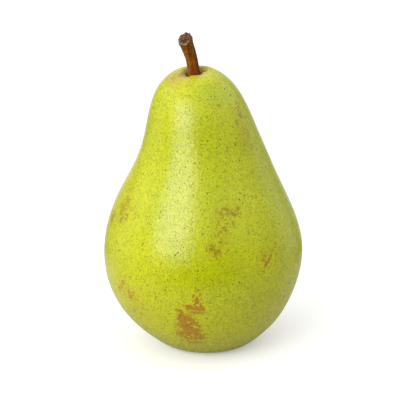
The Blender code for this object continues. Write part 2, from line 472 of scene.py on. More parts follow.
crowd = ramp(tree, mottle(tree, place, CROWDS), 0.35, 0.62, 0.6, 1.0)
small_pores = times(tree, dots(tree, place, *SMALL_PORES), crowd)
large_pores = dots(tree, place, *LARGE_PORES)
extra_pores = dots(tree, place, *EXTRA_PORES)
extra_pores = times(tree, extra_pores, sums(tree, "ADD", low, stain, clamp=True))
base = blend(tree, small_pores, base, PORE)
base = blend(tree, extra_pores, base, PORE_BROWN)
base = blend(tree, large_pores, base, PORE_LARGE)
print("with pores:", len(tree.nodes), "nodes")

# %% [markdown]
# Russet is the corky orange-brown net that grows where the skin was rubbed. The painted attribute
# cork says how strong it is, and noise at two scales breaks its edge into the net, which has a
# darker rim. On stained skin the same noise only leaves freckles. Two more attributes, cove and
# depth, tan the skin round the stem and in the basin, and paint shade down inside the cavity,
# dark brown toward its floor.

# %% The russet on the skin
CORK, CORK_DARK, HALO = (0.410, 0.195, 0.003), (0.205, 0.120, 0.001), (0.500, 0.400, 0.005)
FRECKLE = (0.215, 0.145, 0.001)
COVE, COVE_DARK, COVE_PAINTED_SHADE = (0.470, 0.320, 0.060), (0.290, 0.175, 0.035), (0.070, 0.038, 0.008)
NET, NET_SHARE = 700.0, 0.30
CRUMBS, CRUMB_SHARE = 1900.0, 0.36
SPECKS, CORK_MOTTLING, COVE_MOTTLING = 2600.0, 1300.0, 900.0
COVE_MOST = 0.9
net = ramp(tree, mottle(tree, place, NET, 2.0), 0.25, 0.75, -NET_SHARE, NET_SHARE)
crumbs = ramp(tree, mottle(tree, place, CRUMBS, 1.0), 0.25, 0.75, -CRUMB_SHARE, CRUMB_SHARE)
broken = sums(tree, "ADD", net, crumbs)
specks = ramp(tree, mottle(tree, place, SPECKS, 1.0), 0.36, 0.60, 0.35, 1.0)
freckles = ramp(tree, sums(tree, "ADD", stain, broken), 0.50, 0.82, 0.0, 0.95)
freckles = times(tree, freckles, specks)
base = blend(tree, times(tree, freckles, ramp(tree, stain, 0.05, 0.3)), base, FRECKLE)
cork = painted(tree, "cork")
edge = sums(tree, "ADD", cork, times(tree, broken, ramp(tree, cork, 0.03, 0.30)))
base = blend(tree, ramp(tree, cork, 0.15, 0.5, 0.0, 0.6), base, HALO)
base = blend(tree, ramp(tree, edge, 0.36, 0.48, 0.0, 0.75), base, CORK_DARK)
corky = ramp(tree, edge, 0.46, 0.60)
uneven = ramp(tree, mottle(tree, place, CORK_MOTTLING), 0.50, 0.68, 0.0, 0.8)
base = blend(tree, corky, base, blend(tree, uneven, CORK, CORK_DARK))
cove = painted(tree, "cove")
uneven = ramp(tree, mottle(tree, place, COVE_MOTTLING, 3.0), 0.42, 0.70)
base = blend(tree, times(tree, cove, COVE_MOST), base, blend(tree, uneven, COVE, COVE_DARK))
# painted shade: the skin turns dark brown down inside the stem cavity
base = blend(tree, painted(tree, "depth"), base, COVE_PAINTED_SHADE)
tree.links.new(base, shader.inputs["Base Color"])
print("with russet:", len(tree.nodes), "nodes")

# %% [markdown]
# The shine is that of thin wax, duller on the cork and the pores. The finest relief is left to a
# bump: the peel of the skin, the sunk pores and the raised cork. Anything larger is modelled.

# %% The skin's shine and relief
WAX, PEEL = 260.0, 620.0
WAX_LEAST, WAX_MOST = 0.235, 0.32
CORK_DULLS, PORES_DULL = 0.20, 0.30
dull = times(tree, sums(tree, "MAXIMUM", corky, cove), CORK_DULLS)
dull = sums(tree, "ADD", dull, times(tree, small_pores, PORES_DULL))
wax = ramp(tree, mottle(tree, place, WAX), 0.3, 0.7, WAX_LEAST, WAX_MOST)
tree.links.new(sums(tree, "ADD", wax, dull), shader.inputs["Roughness"])
shader.inputs["Specular IOR Level"].default_value = 0.42
height = times(tree, mottle(tree, place, PEEL, 3.0), 1.3)
for part, share in ((large_pores, -0.5), (small_pores, -0.3), (corky, 0.4)):
    height = sums(tree, "ADD", height, times(tree, part, share))
roughen(tree, shader, height, 0.8, 0.12 * MM)
print("skin has", len(tree.nodes), "nodes")


# %% [markdown]
# Where the russet goes. Each mark is a soft-edged ellipse on the skin: its direction from the
# front in degrees, its height, its half width and half height in millimetres, its tilt, and its
# strength. They are painted one over another like brush strokes, and a stroke of negative
# strength wipes, which leaves a hole. A mask could be worked out from noise alone, but then no
# mark would be where this pear has it.

# %% Places of the cork
CORK_MARKS = (
    # the large patch: its fringe, the ring and the two strokes above, then the body and its tail
    (-9.5, 15, 5.5, 7.5, 0, 0.30), (-11, 9.3, 4, 0.9, 0, 0.34), (-2, 12.4, 1.4, 1.6, 0, 0.34),
    (-3.4, 28.3, 0.8, 1, 0, 1), (-6.2, 29.4, 0.4, 0.8, -20, 0.65), (-5.2, 30.3, 0.4, 0.5, 0, 0.6),
    (-7.2, 25.8, 2.3, 0.8, -12, 1), (-0.5, 26, 0.8, 1.1, 25, 1), (-2.4, 25.2, 1.2, 0.6, 0, 0.9),
    (-4.8, 23.6, 2, 0.5, -12, 0.85), (-14.4, 24.3, 0.6, 0.5, -40, 0.7),
    (-12.7, 23.4, 1, 0.6, -45, 0.95),
    (-11.3, 22.1, 1, 0.9, -40, 1), (-10.3, 20.8, 1.8, 1.1, 0, 1), (-7.8, 20.2, 1.4, 0.8, -15, 1),
    (-12.7, 19, 1.1, 1.1, 0, 1), (-6.9, 18.9, 1.2, 0.7, 0, 0.9), (-12, 17, 1.3, 1.4, 0, 1),
    (-8.9, 17.7, 1.6, 0.9, 0, 1), (-11.2, 15.3, 1.7, 1.3, 0, 0.80), (-6.3, 15.4, 1.3, 1, 20, 1),
    (-4.5, 15.9, 0.9, 0.7, 0, 0.8), (-14.2, 13.4, 1.3, 0.8, 20, 0.62), (-9.9, 13.7, 1.8, 1.1, 0, 0.72),
    (-4.6, 13.4, 1.3, 0.9, 20, 0.66), (-8.7, 11.5, 1.4, 0.9, 0, 0.60), (-12.6, 11.6, 1.1, 0.9, 0, 0.50),
    # holes in it
    (-9, 19.2, 0.6, 0.4, 0, -0.9), (-5.6, 17.4, 0.8, 0.6, 0, -0.9), (-14.8, 15.6, 0.8, 0.9, 0, -0.8),
    (-7.2, 13.3, 0.7, 0.5, 0, -0.8), (-12.2, 13.2, 0.5, 0.5, 0, -0.7),
    (-13.6, 15.9, 0.6, 0.7, 0, -0.7), (-8.6, 14.9, 0.6, 0.4, 0, -0.8), (-10.6, 12.4, 0.6, 0.4, 0, -0.8),
    (-5.6, 24.6, 1.6, 0.25, -12, -0.8),
    # specks that trail off above it and to its right
    (-2.3, 32.5, 0.4, 0.5, 0, 0.6), (-1.5, 31.4, 0.4, 0.5, 0, 0.6), (-1.1, 29.8, 0.4, 0.7, 0, 0.7),
    (-2.8, 34.9, 0.4, 0.4, 0, 0.5), (-4, 18, 0.8, 0.4, -10, 0.65), (1, 18.6, 0.45, 0.4, 0, 0.62),
    (3.1, 18.1, 0.45, 0.4, 0, 0.62), (4.8, 16.8, 0.4, 0.4, 0, 0.55),
    # low on the left
    (-53.6, 28, 0.7, 1.7, -25, 0.62), (-51.3, 29.6, 0.8, 0.9, 0, 0.62), (-56.5, 26.3, 0.5, 1.2, 0, 0.62),
    (-47, 26.4, 1.5, 0.9, -35, 0.72), (-44.6, 24.9, 0.6, 0.8, 30, 0.5),
    # the scar on the right, and single specks
    (47.4, 43.6, 0.45, 0.7, -40, 0.85), (44.6, 42.2, 0.40, 0.9, -42, 0.80),
    (41.6, 40.6, 0.45, 1.1, -42, 0.85), (38.2, 38.7, 0.65, 1.1, -36, 0.95),
    (36, 36.7, 0.50, 0.4, 0, 0.70), (25.1, 44.5, 0.6, 0.4, 15, 0.56), (23.1, 36, 0.4, 0.7, -20, 0.60),
    (28.1, 90.4, 0.5, 0.35, 0, 0.72), (34.5, 68, 0.5, 0.5, 0, 0.6), (23.9, 75.8, 0.4, 0.4, 0, 0.55),
    (58.2, 90, 0.5, 0.7, -20, 0.66),
)

# %% [markdown]
# Stains are the faint kind of mark, which only gilds the skin and freckles it. A wide weak one is
# the golden ground, and small strong ones are where the freckles gather.

# %% Places of the stains
STAIN_MARKS = (
    # the left flank
    (-64, 53.2, 4.6, 5.5, 12, 0.50), (-78, 48.6, 2.6, 3, 20, 0.35), (-63.6, 56.2, 0.8, 1.3, 10, 0.85),
    (-64.7, 52.7, 0.8, 1.3, 15, 0.80), (-62.5, 50.3, 1.1, 1, 25, 0.85), (-57.2, 51.9, 0.7, 1, 20, 0.60),
    (-77, 47.5, 0.8, 1.3, 10, 0.85), (-75.9, 49.4, 0.7, 0.9, 0, 0.60), (-53.4, 56, 0.7, 1, 0, 0.50),
    (-49.3, 53.9, 0.5, 2, 0, 0.55), (-68, 62, 2.5, 4, 10, 0.28),
    # low on the left, down and to the right of the cork
    (-49, 27, 6, 3.4, -20, 0.35), (-42, 20, 5, 6.5, -25, 0.32),
    # right of the middle: the net, and the golden ground under it
    (18, 57.4, 6, 2.6, 0, 0.38), (11.3, 57.6, 1, 0.8, 20, 0.70), (16, 58.7, 1.2, 0.7, 0, 0.60),
    (18.5, 56.9, 1.4, 0.6, -10, 0.75), (21.8, 56.3, 1.1, 0.7, 0, 0.78), (24.8, 57.4, 0.8, 1, 10, 0.65),
    (11.5, 51.8, 3.4, 6, 0, 0.34), (10, 54.2, 0.8, 0.8, 0, 0.50), (20, 54, 0.9, 0.5, 0, 0.45),
    (14.1, 52, 0.6, 0.5, 0, 0.65), (11.3, 51.4, 0.6, 0.5, 0, 0.60), (5.4, 51, 0.5, 0.5, 0, 0.55),
    (7, 46.2, 3.6, 3.2, 0, 0.45), (6.4, 45.8, 1.5, 1, -15, 0.75), (4.2, 46.8, 0.9, 0.8, 0, 0.60),
    (8.2, 44.4, 0.8, 0.8, 0, 0.62), (17, 47.9, 0.5, 1, 0, 0.50),
    # round the scar, and right of it
    (37.5, 41, 1.8, 3.6, -30, 0.40), (50, 40, 3, 3.5, 0, 0.22), (55.4, 22.1, 2, 3, 0, 0.35),
    # down the right of the neck
    (57, 84, 3.4, 8, -15, 0.34), (57.5, 88, 0.8, 1.8, -15, 0.60), (56.5, 85.8, 0.8, 1.1, 0, 0.50),
    (46, 84.2, 1, 1, 0, 0.40), (61.5, 80.2, 0.8, 1.6, -15, 0.50), (55.5, 78.9, 0.8, 1, 0, 0.40),
    (55.4, 75.2, 1.2, 1, 0, 0.50),
    # beside the furrow, and round the foot
    (-50, 97.2, 3.2, 2.6, 0, 0.45), (-70, 97.8, 3, 2.2, 0, 0.35),
)

print(len(CORK_MARKS), "cork marks and", len(STAIN_MARKS), "stains by hand")

# %% [markdown]
# Some of the skin stayed greener, as it does in the shade of a leaf: on the right shoulder and
# on the far side. Down the middle of the front the marks are partly that and partly painted shade:
# the band between the two highlights, which faces the camera, is painted darker and greener.

# %% Places where the skin is greenest
FRESH_AND_SHADE_MARKS = (
    # the first three, down the middle of the front, are partly painted shade
    (12, 78, 5, 12, 0, 0.45), (10, 56, 6, 11, 0, 0.60), (5, 36, 8, 8, 0, 0.50),
    (30, 94.5, 6, 4, 0, 0.55), (160, 60, 12, 20, 0, 0.45), (-130, 35, 12, 12, 0, 0.40),
)

# %% [markdown]
# The far side has marks of both kinds. Nothing says where, so a seeded random generator
# scatters them, the same on each run.

# %% The far side's own marks
BACK_CORK, BACK_STAINS = 9, 16
BACK_TURNS, BACK_HEIGHTS, BACK_TILTS = (95, 265), (12, 88), (-40, 40)
BACK_SMALLEST = 0.5
chance = np.random.default_rng(7)


def back_mark(strengths, widest):
    """One mark somewhere on the far side."""
    turn, high = chance.uniform(*BACK_TURNS), chance.uniform(*BACK_HEIGHTS)
    sizes = chance.uniform(BACK_SMALLEST, widest, 2)
    return (turn, high, *sizes, chance.uniform(*BACK_TILTS), chance.uniform(*strengths))


cork_marks = [*CORK_MARKS, *(back_mark((0.6, 0.9), 1.6) for _ in range(BACK_CORK))]
stain_marks = [*STAIN_MARKS, *(back_mark((0.3, 0.6), 5.0) for _ in range(BACK_STAINS))]
print(len(cork_marks), "cork marks and", len(stain_marks), "stains")

# %% [markdown]
# Each mark finds the point of the skin nearest to its place, lays an ellipse flat on the skin
# there, and adds a soft-edged stroke to what is painted already.

# %% Paint the marks
FRONT = math.radians(-90)
FACING = 0.3


def paint_marks(points, normals, marks):
    """The strength of the marks at each point of the skin, one stroke over another."""
    x, y, z = points.T
    turn = np.arctan2(y, x - lean(z))
    flank = np.hypot(x - lean(z), y) > 0.85 * BASIN[-1][1]
    painted_so_far = np.zeros(len(points))
    for degrees, height, half_width, half_height, tilt, strength in marks:
        direction = FRONT + math.radians(degrees)
        miss = apart(turn, direction) * belly_radius + np.abs(z - height * MM)
        middle = np.argmin(np.where(flank, miss, 1.0))
        east = np.array([-math.sin(direction), math.cos(direction), 0.0])
        up = np.cross(normals[middle], east)
        across, along = (points - points[middle]) @ east, (points - points[middle]) @ up
        c, s = math.cos(math.radians(tilt)), math.sin(math.radians(tilt))
        u = (c * across + s * along) / (half_width * MM)
        v = (c * along - s * across) / (half_height * MM)
        stroke = ((normals @ normals[middle]) > FACING) / (1 + (u * u + v * v) ** 2)
        room = 1 - painted_so_far if strength > 0 else painted_so_far
        painted_so_far += room * strength * stroke
    return painted_so_far


print("front at", round(math.degrees(FRONT)), "degrees")

# %% [markdown]
# Round the stem the skin is tan and rough. The tan reaches further over the lip in three
# directions, follows the furrow, and fills the basin too. Down the cavity shade is painted on,
# so the skin turns dark brown toward its floor.

# %% Paint the cavity and the basin
COVE_RADIUS, COVE_FADE = 0.0047, 0.0012
# further tan: direction in degrees, how much, and how widely
COVE_TONGUES = ((70, 0.0018, 0.9), (185, 0.0014, 0.7), (-90, 0.0013, 0.7))
FURROW_TAN, FURROW_TAN_SPREAD = 0.95, 0.58
FURROW_TAN_RADIUS, FURROW_TAN_WIDTH = 0.0068, 0.0036
BASIN_TAN, BASIN_TAN_EDGE, BASIN_TAN_FULL = 0.8, 0.0080, 0.0050
DARK_START, DARK_FULL, DARK_RADIUS = 0.0008, 0.0038, 0.0060


def paint_cove(points):
    """Where the skin is tan and rough."""
    x, y, z = points.T
    radius, angle = np.hypot(x - lean(z), y), np.arctan2(y, x - lean(z))
    edge = COVE_RADIUS
    for degrees, further, spread in COVE_TONGUES:
        edge = edge + further * hump(apart(angle, math.radians(degrees)), 0.0, spread)
    top = fade(radius, edge, edge - COVE_FADE)
    along_furrow = hump(apart(angle, FURROW_ANGLE), 0.0, FURROW_TAN_SPREAD)
    along_furrow = along_furrow * hump(radius, FURROW_TAN_RADIUS, FURROW_TAN_WIDTH)
    top = (top + FURROW_TAN * along_furrow) * (z > 0.5 * body_height)
    basin = fade(radius, BASIN_TAN_EDGE, BASIN_TAN_FULL) * (z < BASIN_SHARE * body_height)
    return np.clip(top + BASIN_TAN * basin, 0.0, 1.0)


def paint_cavity_shade(points):
    """Painted shade down the stem cavity: how dark brown the skin turns toward its floor."""
    x, y, z = points.T
    inside = (z > 0.5 * body_height) & (np.hypot(x - lean(z), y) < DARK_RADIUS)
    return inside * fade(z, body_height - DARK_START, body_height - DARK_FULL)


print("tan within", COVE_RADIUS / MM, "mm of the stem's middle")

# %% [markdown]
# Shallow dents a centimetre across and a finer unevenness make the edge of the shine wander, and
# the cork stands a little proud. The points really move, so this shows in the outline too.

# %% Dents and unevenness
DENT, DENTS = 0.00012, 75.0
BUMP, BUMPS = 0.000022, 330.0
CORK_RISE = 0.00004


def relief_of(points):
    """How far the skin stands proud of its smooth shape."""
    return np.array([
        DENT * noise.noise(Vector(point * DENTS)) + BUMP * noise.noise(Vector(point * BUMPS))
        for point in points
    ])


print("dents up to", DENT / MM, "mm deep")

# %% [markdown]
# Now the fruit is made: spun, grown, painted while it is still smooth, so that the marks lie
# evenly, and then dented. The foot is kept from going under the table.

# %% Make the fruit
def store(mesh, name, values):
    """Paints an attribute on the mesh, one value a point."""
    layer = mesh.attributes.new(name, "FLOAT", "POINT")
    layer.data.foreach_set("value", values.astype(np.float32))


fruit = finish(spun(half_outline(), FRUIT_SIDES), "pear_fruit", skin, "skin", "fruit")
write_points(fruit.data, grown(read_points(fruit.data)))
fruit_points = read_points(fruit.data)
fruit_normals = np.array([normal.vector for normal in fruit.data.vertex_normals])
cork_paint = paint_marks(fruit_points, fruit_normals, cork_marks)
store(fruit.data, "cork", cork_paint)
store(fruit.data, "stain", paint_marks(fruit_points, fruit_normals, stain_marks))
store(fruit.data, "fresh_and_shade", paint_marks(fruit_points, fruit_normals, FRESH_AND_SHADE_MARKS))
store(fruit.data, "cove", paint_cove(fruit_points))
store(fruit.data, "depth", paint_cavity_shade(fruit_points))
proud = relief_of(fruit_points) + CORK_RISE * cork_paint
fruit_points += fruit_normals * proud[:, None]
fruit_points[:, 2] = np.maximum(fruit_points[:, 2], 0.0)
write_points(fruit.data, fruit_points)
print("fruit reaches", round(float(fruit_points[:, 2].max()), 5), "m")


# %% [markdown]
# The stem is young wood in bark: brown, streaked lengthwise, and reddish near its foot. Down the
# side that faces the key light it is painted paler and greyer, which is painted light. It broke
# off at the joint where it sat on the spur, so its end is a rough scar. Its rim is painted pale on
# the lit side, a painted highlight, and dark on the other, a painted shade. Streaks come from the
# weathering group drawn out along the stem, and painted attributes say where the rest goes.

# %% The stem's wood
BARK, BARK_DARK, BARK_RED = (0.310, 0.100, 0.002), (0.105, 0.030, 0.002), (0.150, 0.020, 0.002)
ASH_AND_SHEEN, SCAR, DARK_PIT_AND_SHADE = (0.340, 0.240, 0.150), (0.255, 0.115, 0.055), (0.018, 0.008, 0.004)
EVEN, DRAWN_OUT = (1.0, 1.0, 1.0), (1.0, 1.0, 0.16)
STREAKS, BLOTCHES = 900.0, 1500.0
BARK_PORES = (1500.0, 0.0002, 0.2)


def worn(tree, place, blotches, stretch, contrast):
    """The weathering group, placed in a material: its mask and its height."""
    inputs = {"Blotches per metre": blotches, "Stretch": stretch, "Contrast": contrast}
    made = put(tree, "ShaderNodeGroup", {"Place": place, **inputs}, node_tree=weathering)
    return made.outputs["Mask"], made.outputs["Height"]


wood, tree, shader, place = new_material("stem_bark")
streaks, grain = worn(tree, place, STREAKS, DRAWN_OUT, 0.16)
blotch, crumbs = worn(tree, place, BLOTCHES, EVEN, 0.14)
base = blend(tree, streaks, BARK_DARK, BARK)
base = blend(tree, ramp(tree, crumbs, 0.50, 0.62, 0.0, 0.7), base, BARK_DARK)
base = blend(tree, times(tree, painted(tree, "foot"), 0.8), base, BARK_RED)
base = blend(tree, times(tree, dots(tree, place, *BARK_PORES), 0.25), base, ASH_AND_SHEEN)
# painted light: paler and greyer down the side that faces the key light
base = blend(tree, times(tree, painted(tree, "lit_side"), 0.45), base, ASH_AND_SHEEN)
# painted highlight: a pale rim on the lit side of the broken end, and a pale band at the foot
base = blend(tree, times(tree, painted(tree, "rim"), blotch), base, ASH_AND_SHEEN)
# painted shade: the rim of the broken end is dark on the side away from the key light
base = blend(tree, painted(tree, "shaded_rim"), base, DARK_PIT_AND_SHADE)
base = blend(tree, painted(tree, "scar"), base, blend(tree, blotch, DARK_PIT_AND_SHADE, SCAR))
base = blend(tree, painted(tree, "pit"), base, DARK_PIT_AND_SHADE)
tree.links.new(base, shader.inputs["Base Color"])
shader.inputs["Roughness"].default_value = 0.72
shader.inputs["Specular IOR Level"].default_value = 0.10
height = sums(tree, "ADD", grain, times(tree, crumbs, 0.6))
roughen(tree, shader, height, 0.9, 0.3 * MM)
print("bark has", len(tree.nodes), "nodes")

# %% [markdown]
# A curve with a bevel would give a smooth pipe. So the stem starts as a straight stick, one unit
# long and spun like the fruit. Each of its points then says how far along and how far round it
# is, which is what the ribs, the bark and the broken end depend on.

# %% The straight stick
STEM_SIDES, STEM_RINGS = 96, 120
END_RINGS, END_RISE, END_EDGE = 16, 0.026, 0.96
FOOT_EDGE = 0.6


def stick():
    """(radius, height) of the stick, up its side and over its shallow end."""
    shaft = [(1.0, share) for share in np.linspace(0.0, 1.0, STEM_RINGS)]
    end = [(radius, 1.0 + END_RISE) for radius in np.linspace(END_EDGE, 0.0, END_RINGS)]
    return [(0.0, 0.0), (FOOT_EDGE, 0.0), *shaft, *end]


print("half outline of the stick:", len(stick()), "points")

# %% [markdown]
# The stem is ribbed, and swells to a knob at its end. Young bark is finely rough, and rougher on
# the knob. The end broke off at a slant, crumbled, and has a pit on its lower side.

# %% The stem's ribs, bark and broken end
STEM_RADII = ((0.0, 0.0018), (0.3, 0.0021), (0.6, 0.00198), (0.86, 0.0023), (1.0, 0.00258))
# depth as a share of the radius, count round the stem, twist
STEM_RIBS = ((0.035, 5, 2.2), (0.020, 9, -3.0))
BARK_DEPTH, GRIT_DEPTH, KNOB_DEPTH = 0.035, 0.035, 0.07
# how fine each is, across the stem and along it
BARK_GRAIN, GRIT_GRAIN, KNOB_GRAIN, CRUMB_GRAIN = (1.5, 7.0), (3.6, 32.0), (3.1, 18.0), 2.6
KNOB_START = 0.84
SLANT, SLANT_WAY, SLANT_DROP = 0.45, (0.35, 0.9), 0.8
CRUMBLE, PIT_MIDDLE, PIT_WIDTH, PIT_DEPTH = 0.00036, (-0.15, -0.42), 0.34, 0.00055


def finely(x, y, z, grain, shift=0.0):
    """A place in the noise, for relief of the given fineness."""
    return Vector((x * grain[0], y * grain[0], z * grain[1] + shift))


def thickness(x, y, z):
    """The stem's radius at a point of the stick."""
    share, angle = min(z, 1.0), math.atan2(y, x)
    uneven = 1 + sum(
        depth * math.sin(count * angle + twist * share) for depth, count, twist in STEM_RIBS
    )
    uneven += BARK_DEPTH * noise.fractal(finely(x, y, z, BARK_GRAIN), 1.0, 2.0, 4)
    uneven += GRIT_DEPTH * noise.noise(finely(x, y, z, GRIT_GRAIN))
    uneven += KNOB_DEPTH * noise.noise(finely(x, y, z, KNOB_GRAIN, 5.0)) * fade(z, KNOB_START, 1.0)
    return np.interp(share, *zip(*STEM_RADII)) * uneven


def broken_end(x, y, z, thick):
    """How far a point of the end stands past a clean cut."""
    crumble = CRUMBLE * noise.fractal(Vector((x * CRUMB_GRAIN, y * CRUMB_GRAIN, 9.0)), 1.0, 2.0, 3)
    crumble -= PIT_DEPTH * hump(math.hypot(x - PIT_MIDDLE[0], y - PIT_MIDDLE[1]), 0.0, PIT_WIDTH)
    slant = SLANT * (x * SLANT_WAY[0] + y * SLANT_WAY[1] - SLANT_DROP) * thick
    return (crumble + slant) * fade(z, KNOB_START, 1.0) ** 2


print("the stem's knob is", 2 * STEM_RADII[-1][1] / MM, "mm thick")

# %% [markdown]
# The stick is bent along the stem's route, from inside the cavity to the knob. It is laid across
# the route's own direction at each height, so that it keeps its thickness in the bend.

# %% Bend it along its route
stem_length = stem_high.z - body_height
STEM_ROUTE = (
    (-0.0026, 0.0002, -0.53), (-0.0033, -0.0003, -0.09), (-0.0042, -0.0008, 0.35),
    (-0.0053, -0.0011, 0.62), (-0.00655, -0.0014, 0.89),
)
ROUTE_POINTS, LOOK_AHEAD = 200, 0.02


def bent_stem(points):
    """Gives the straight stick its relief, and bends it along the route."""
    route = np.array([(x, y, body_height + share * stem_length) for x, y, share in STEM_ROUTE])
    ends = [(b - a) / np.linalg.norm(b - a) for a, b in (route[:2], route[-2:])]
    line = smooth_line(route, ends[0], ends[1], ROUTE_POINTS)
    shares = np.linspace(0.0, 1.0, ROUTE_POINTS)
    length = np.linalg.norm(np.diff(line, axis=0), axis=1).sum()

    def on_route(share):
        return np.array([np.interp(share, shares, line[:, i]) for i in range(3)])

    out = []
    for x, y, z in points:
        share = min(z, 1.0)
        way = on_route(min(share + LOOK_AHEAD, 1.0)) - on_route(max(share - LOOK_AHEAD, 0.0))
        way /= np.linalg.norm(way)
        side = np.cross([0.0, 1.0, 0.0], way)
        side /= np.linalg.norm(side)
        thick = thickness(x, y, z)
        across = (side * x + np.cross(way, side) * y) * thick
        past = max(z - 1.0, 0.0) * length + broken_end(x, y, z, thick)
        out.append(on_route(share) + across + way * past)
    return np.array(out)


stem = finish(spun(stick(), STEM_SIDES), "pear_stem", wood, "stem_wood", "stem")
stick_points = read_points(stem.data)
write_points(stem.data, bent_stem(stick_points))

# %% [markdown]
# The same straight stick says which points are on the foot, the rim or the scar, and which side
# they face, so the bark's attributes are worked out on it.

# %% Paint the stem
SCAR_EDGE, SCAR_FULL = 0.88, 0.73
LIT_RIM_START, SHADED_RIM_START, RED_TOP, RED_FULL = 0.92, 0.95, 0.62, 0.37
PIT_DARK, SHADED_RIM_DARK = 0.75, 0.8


def paint_stem(mesh, points):
    """Stores the attributes of the bark and the broken end, with painted light and shade on the rim."""
    x, y, along = points.T
    reach, turn = np.hypot(x, y), np.arctan2(y, x)
    over_end = fade(along, 1.0, 1.02)
    in_pit = hump(np.hypot(x - PIT_MIDDLE[0], y - PIT_MIDDLE[1]), 0.0, PIT_WIDTH)
    facing_left = np.clip(0.7 - 0.7 * (x + y), 0.0, 1.0)
    # painted light and shade on the rim of the broken end: pale facing the key, dark away from it
    painted_rim_light = fade(along, LIT_RIM_START, 1.0) * facing_left
    painted_rim_shade = fade(along, SHADED_RIM_START, 1.0) * (1 - facing_left)
    red_front = fade(along, RED_TOP, RED_FULL) * hump(apart(turn, FRONT), 0.0, 0.35)
    store(mesh, "scar", over_end * fade(reach, SCAR_EDGE, SCAR_FULL))
    store(mesh, "pit", PIT_DARK * over_end * in_pit)
    store(mesh, "rim", painted_rim_light + hump(along, 0.0, 0.05))
    store(mesh, "shaded_rim", SHADED_RIM_DARK * painted_rim_shade)
    store(mesh, "foot", red_front)
    # painted light: paler grey down the side that faces the key light
    store(mesh, "lit_side", hump(apart(turn, math.pi), 0.0, 0.55))


paint_stem(stem.data, stick_points)
print("stem painted with", len(stem.data.attributes), "attributes")


# %% [markdown]
# Under the fruit, in the basin, sit the five sepals of the old flower. They dried out, so they
# are thin, dark, curled and crinkled, with a rib down the middle. Each starts as a flat grid,
# which is drawn to a point and bent, and a Solidify modifier gives it its thickness.

# %% The dried sepals
DRY_LEAF, DRY_EDGE = (0.120, 0.062, 0.028), (0.040, 0.020, 0.011)
SEPALS, SEPAL_TURN, SEPAL_TOP = 5, math.radians(18), 0.0033
SEPAL_START, SEPAL_REACH, SEPAL_WIDTH, SEPAL_THICKNESS = 0.0023, 0.0045, 0.0024, 0.00022
TAPER, DROOP, CURL, MIDRIB = 0.85, 0.0020, 0.0004, 0.0001
CRINKLE, WAVE = 0.00022, 0.00012

leaf, tree, shader, place = new_material("dried_sepal")
blotch, wrinkles = worn(tree, place, 900.0, EVEN, 0.18)
tree.links.new(blend(tree, blotch, DRY_EDGE, DRY_LEAF), shader.inputs["Base Color"])
shader.inputs["Roughness"].default_value = 0.82
roughen(tree, shader, wrinkles, 0.9, 0.3 * MM)


def make_sepal(number):
    """One sepal, spread from the middle of the basin and curled down at its tip."""
    bm = bmesh.new()
    bmesh.ops.create_grid(bm, x_segments=22, y_segments=12, size=0.5)
    for vert in bm.verts:
        along, side = vert.co.x + 0.5, vert.co.y * 2
        half_width = 0.5 * SEPAL_WIDTH * (1 - TAPER * along**1.8)
        height = SEPAL_TOP - DROOP * along**1.4 - CURL * side**2 + MIDRIB * (1 - abs(side)) ** 4
        height += CRINKLE * noise.noise(Vector((along * 4.0, side * 2.0, number * 3.7)))
        height += WAVE * math.sin(9 * along + number) * side
        vert.co = (SEPAL_START + SEPAL_REACH * along, side * half_width, height)
    turn = Matrix.Rotation(math.tau * number / SEPALS + SEPAL_TURN, 4, "Z")
    middle = Matrix.Translation((float(lean(0.0)), 0, 0))
    bmesh.ops.transform(bm, matrix=middle @ turn, verts=bm.verts)
    piece = finish(bm, f"dried_sepal_{number + 1}", leaf, "dried_sepal", f"sepal_{number + 1}")
    wall = piece.modifiers.new("thickness", "SOLIDIFY")
    wall.thickness, wall.offset = SEPAL_THICKNESS, 0.0
    return piece


sepals = [make_sepal(number) for number in range(SEPALS)]
print("made", len(sepals), "sepals")

# %% [markdown]
# Inside the ring of sepals is what is left of the flower itself: a small disc with a tuft of
# withered stamens, like coarse hairs. Each hair is a thin six-sided tube, extruded in steps that
# turn a little, so no two bend alike.

# %% The withered stamens
WITHERED, ASHEN = (0.045, 0.026, 0.014), (0.130, 0.095, 0.060)
HAIRS, HAIR_STEPS, HAIR_STEP, HAIR_RADIUS, HAIR_TAPER = 18, 6, 0.00034, 0.00014, 0.9
DISC_RADIUS, DISC_FLATNESS, DISC_SINK = 0.0017, 0.25, 0.0009
INNER_RING, OUTER_RING = 0.0006, 0.0013
SPREAD, UNRULY, TWIST = 0.3, 0.25, 0.6
tuft_finish, tree, shader, place = new_material("dried_stamen")
blotch, wrinkles = worn(tree, place, 1600.0, EVEN, 0.15)
tree.links.new(blend(tree, blotch, WITHERED, ASHEN), shader.inputs["Base Color"])
shader.inputs["Roughness"].default_value = 0.9
roughen(tree, shader, wrinkles, 0.8, 0.2 * MM)


def add_hair(bm, foot, way, twist):
    """A thin tube from foot along way, which turns by twist at each step."""
    turn = way.to_track_quat("Z", "Y").to_matrix().to_4x4()
    ring = bmesh.ops.create_circle(
        bm, segments=6, radius=HAIR_RADIUS, cap_ends=True, matrix=Matrix.Translation(foot) @ turn
    )["verts"]
    face = next(face for face in ring[0].link_faces)
    tip = foot.copy()
    for step in range(HAIR_STEPS):
        made = bmesh.ops.extrude_face_region(bm, geom=[face])
        verts = [part for part in made["geom"] if isinstance(part, bmesh.types.BMVert)]
        if step:
            bmesh.ops.delete(bm, geom=[face], context="FACES_ONLY")
        face = next(part for part in made["geom"] if isinstance(part, bmesh.types.BMFace))
        way = (way + twist).normalized()
        bmesh.ops.translate(bm, vec=way * HAIR_STEP, verts=verts)
        tip += way * HAIR_STEP
        bmesh.ops.scale(bm, vec=[HAIR_TAPER] * 3, space=Matrix.Translation(-tip), verts=verts)


